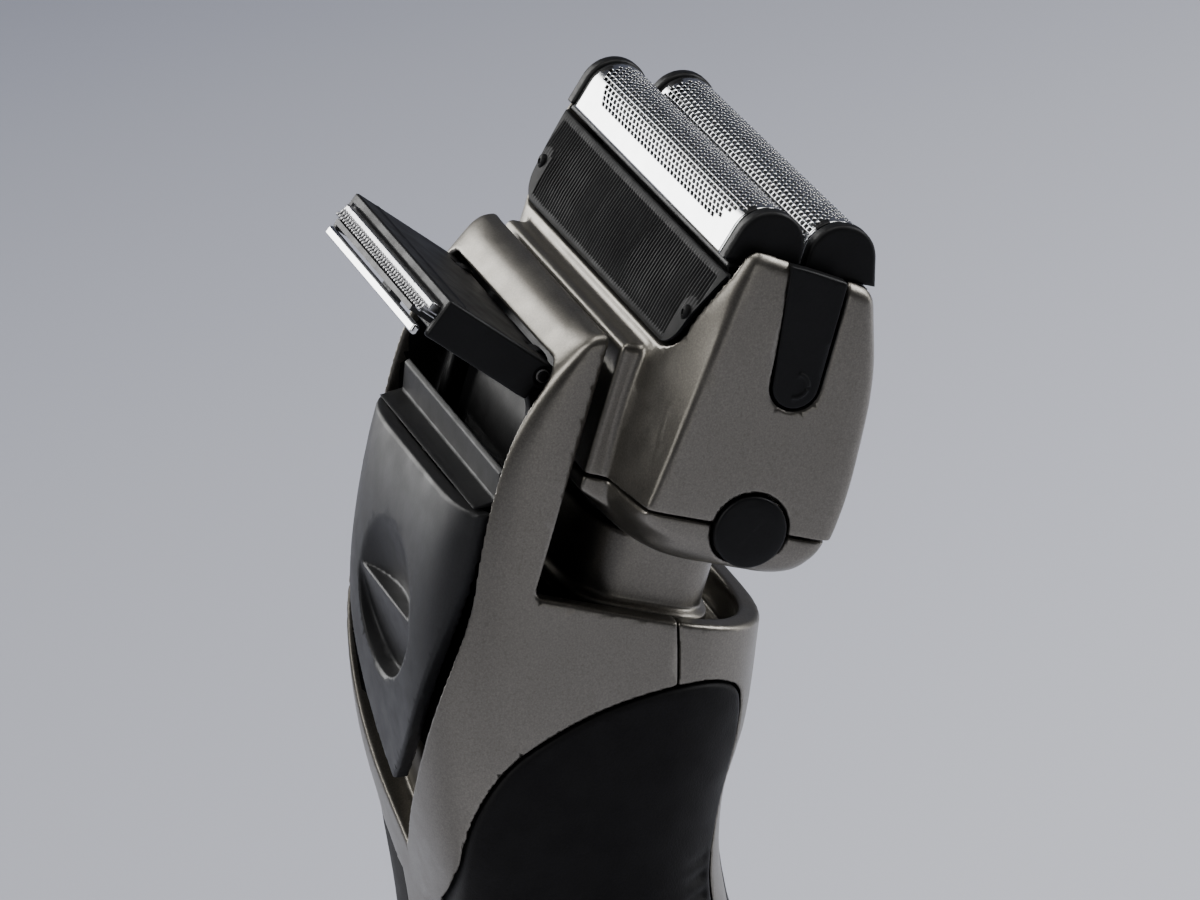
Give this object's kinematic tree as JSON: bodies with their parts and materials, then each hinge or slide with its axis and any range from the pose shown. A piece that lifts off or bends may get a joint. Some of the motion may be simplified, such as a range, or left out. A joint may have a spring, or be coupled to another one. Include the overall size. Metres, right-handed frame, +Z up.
{
  "type": "electric shaver",
  "caption": "Cordless foil shaver with a leaning twin-foil head, rubber side grips and a hair trimmer that flips out of its back.",
  "frame": {"origin": "on the flat underside of the base cap, at its middle", "axes": "+Z up along the handle, +Y towards the thumb side, X along the foils"},
  "size_m": [0.0624, 0.0499, 0.1536],
  "materials": {
    "pewter_shell": "satin metallic",
    "black_plastic": "fine matt",
    "grey_plastic": "satin",
    "grip_rubber": "matt",
    "foil_metal": "bright",
    "steel": "ground",
    "contact_brass": "plated",
    "light_lens": "clear",
    "board": "lacquered",
    "cell_wrap": "shrink sleeve"
  },
  "bodies": {
    "body": {"rear_shell": "pewter_shell", "front_shell": "pewter_shell", "base_cap": "black_plastic", "grip_right": "grip_rubber", "grip_left": "grip_rubber", "front_panel": "grey_plastic", "charge_light": "light_lens", "charging_socket": "black_plastic", "socket_pin_right": "contact_brass", "socket_pin_left": "contact_brass", "base_screw_right": "steel", "base_screw_left": "steel", "battery_cell": "cell_wrap", "battery_tab_upper": "steel", "battery_tab_lower": "steel", "battery_chassis": "black_plastic", "circuit_board": "board", "drive_motor": "steel", "pivot_frame": "steel", "neck_seal": "grip_rubber", "trimmer_carrier": "black_plastic"},
    "head": {"neck": "pewter_shell", "neck_screw_right": "steel", "neck_screw_left": "steel", "head_pivot_pin_right": "steel", "head_pivot_pin_left": "steel", "head_bowl": "pewter_shell", "head_housing": "pewter_shell"},
    "rotor": {"motor_rotor": "steel"},
    "cutter_block": {"cutter_bridge": "black_plastic", "cutter_rear": "steel", "cutter_front": "steel"},
    "foil_cassette": {"foil_frame": "black_plastic", "rib_panel_rear": "black_plastic", "rib_panel_front": "black_plastic", "panel_rivet_rear_right": "steel", "panel_rivet_rear_left": "steel", "panel_rivet_front_right": "steel", "panel_rivet_front_left": "steel", "foil_rear": "foil_metal", "foil_front": "foil_metal", "foil_cap_rear_right": "black_plastic", "foil_cap_rear_left": "black_plastic", "foil_cap_front_right": "black_plastic", "foil_cap_front_left": "black_plastic"},
    "head_button_right": {"head_release_right": "black_plastic"},
    "head_button_left": {"head_release_left": "black_plastic"},
    "foil_button_right": {"foil_release_right": "black_plastic"},
    "foil_button_left": {"foil_release_left": "black_plastic"},
    "power_switch": {"power_button": "black_plastic"},
    "slider": {"slider_panel": "grey_plastic", "slider_shelf": "black_plastic"},
    "trimmer": {"trimmer_housing": "black_plastic", "trimmer_comb": "steel", "trimmer_guard_bar": "foil_metal", "trimmer_pivot_pin": "steel"},
    "trimmer_blade": {"trimmer_cutter": "steel"}
  },
  "joints": [
    {"name": "head_lean", "type": "hinge", "parent": "body", "child": "head", "pos_m": [0, 0.00487, 0.10661], "axis": [1, 0, 0], "range_deg": [-8, 0], "stiffness_Nm_per_rad": 1},
    {"name": "rotor_spin", "type": "hinge", "parent": "body", "child": "rotor", "pos_m": [0, 0.00282, 0.09991], "axis": [0, 0.2924, 0.9563], "continuous": true},
    {"name": "cutter_stroke", "type": "slide", "parent": "head", "child": "cutter_block", "axis": [1, 0, 0], "range_m": [-0.001, 0.001]},
    {"name": "foil_lift", "type": "slide", "parent": "head", "child": "foil_cassette", "axis": [0, 0.2924, 0.9563], "range_m": [0, 0.025]},
    {"name": "head_release_right_press", "type": "slide", "parent": "head", "child": "head_button_right", "axis": [-1, 0, 0], "range_m": [0, 0.001], "stiffness_N_per_m": 400},
    {"name": "head_release_left_press", "type": "slide", "parent": "head", "child": "head_button_left", "axis": [1, 0, 0], "range_m": [0, 0.001], "stiffness_N_per_m": 400},
    {"name": "foil_release_right_press", "type": "slide", "parent": "head", "child": "foil_button_right", "axis": [-1, 0, 0], "range_m": [0, 0.0005], "stiffness_N_per_m": 400},
    {"name": "foil_release_left_press", "type": "slide", "parent": "head", "child": "foil_button_left", "axis": [1, 0, 0], "range_m": [0, 0.0005], "stiffness_N_per_m": 400},
    {"name": "power_press", "type": "slide", "parent": "body", "child": "power_switch", "axis": [0, -1, 0], "range_m": [0, 0.0007], "stiffness_N_per_m": 400},
    {"name": "slider_travel", "type": "slide", "parent": "body", "child": "slider", "axis": [0, 0, 1], "range_m": [-0.006, 0]},
    {"name": "trimmer_flip", "type": "hinge", "parent": "body", "child": "trimmer", "pos_m": [0, -0.0076, 0.1339], "axis": [1, 0, 0], "range_deg": [0, 94]},
    {"name": "trimmer_stroke", "type": "slide", "parent": "trimmer", "child": "trimmer_blade", "axis": [1, 0, 0], "range_m": [-0.001, 0.001]}
  ],
  "couplings": [
    {"joint": "trimmer_flip", "follows": "slider_travel", "rad_per_m": -273.4}
  ]
}
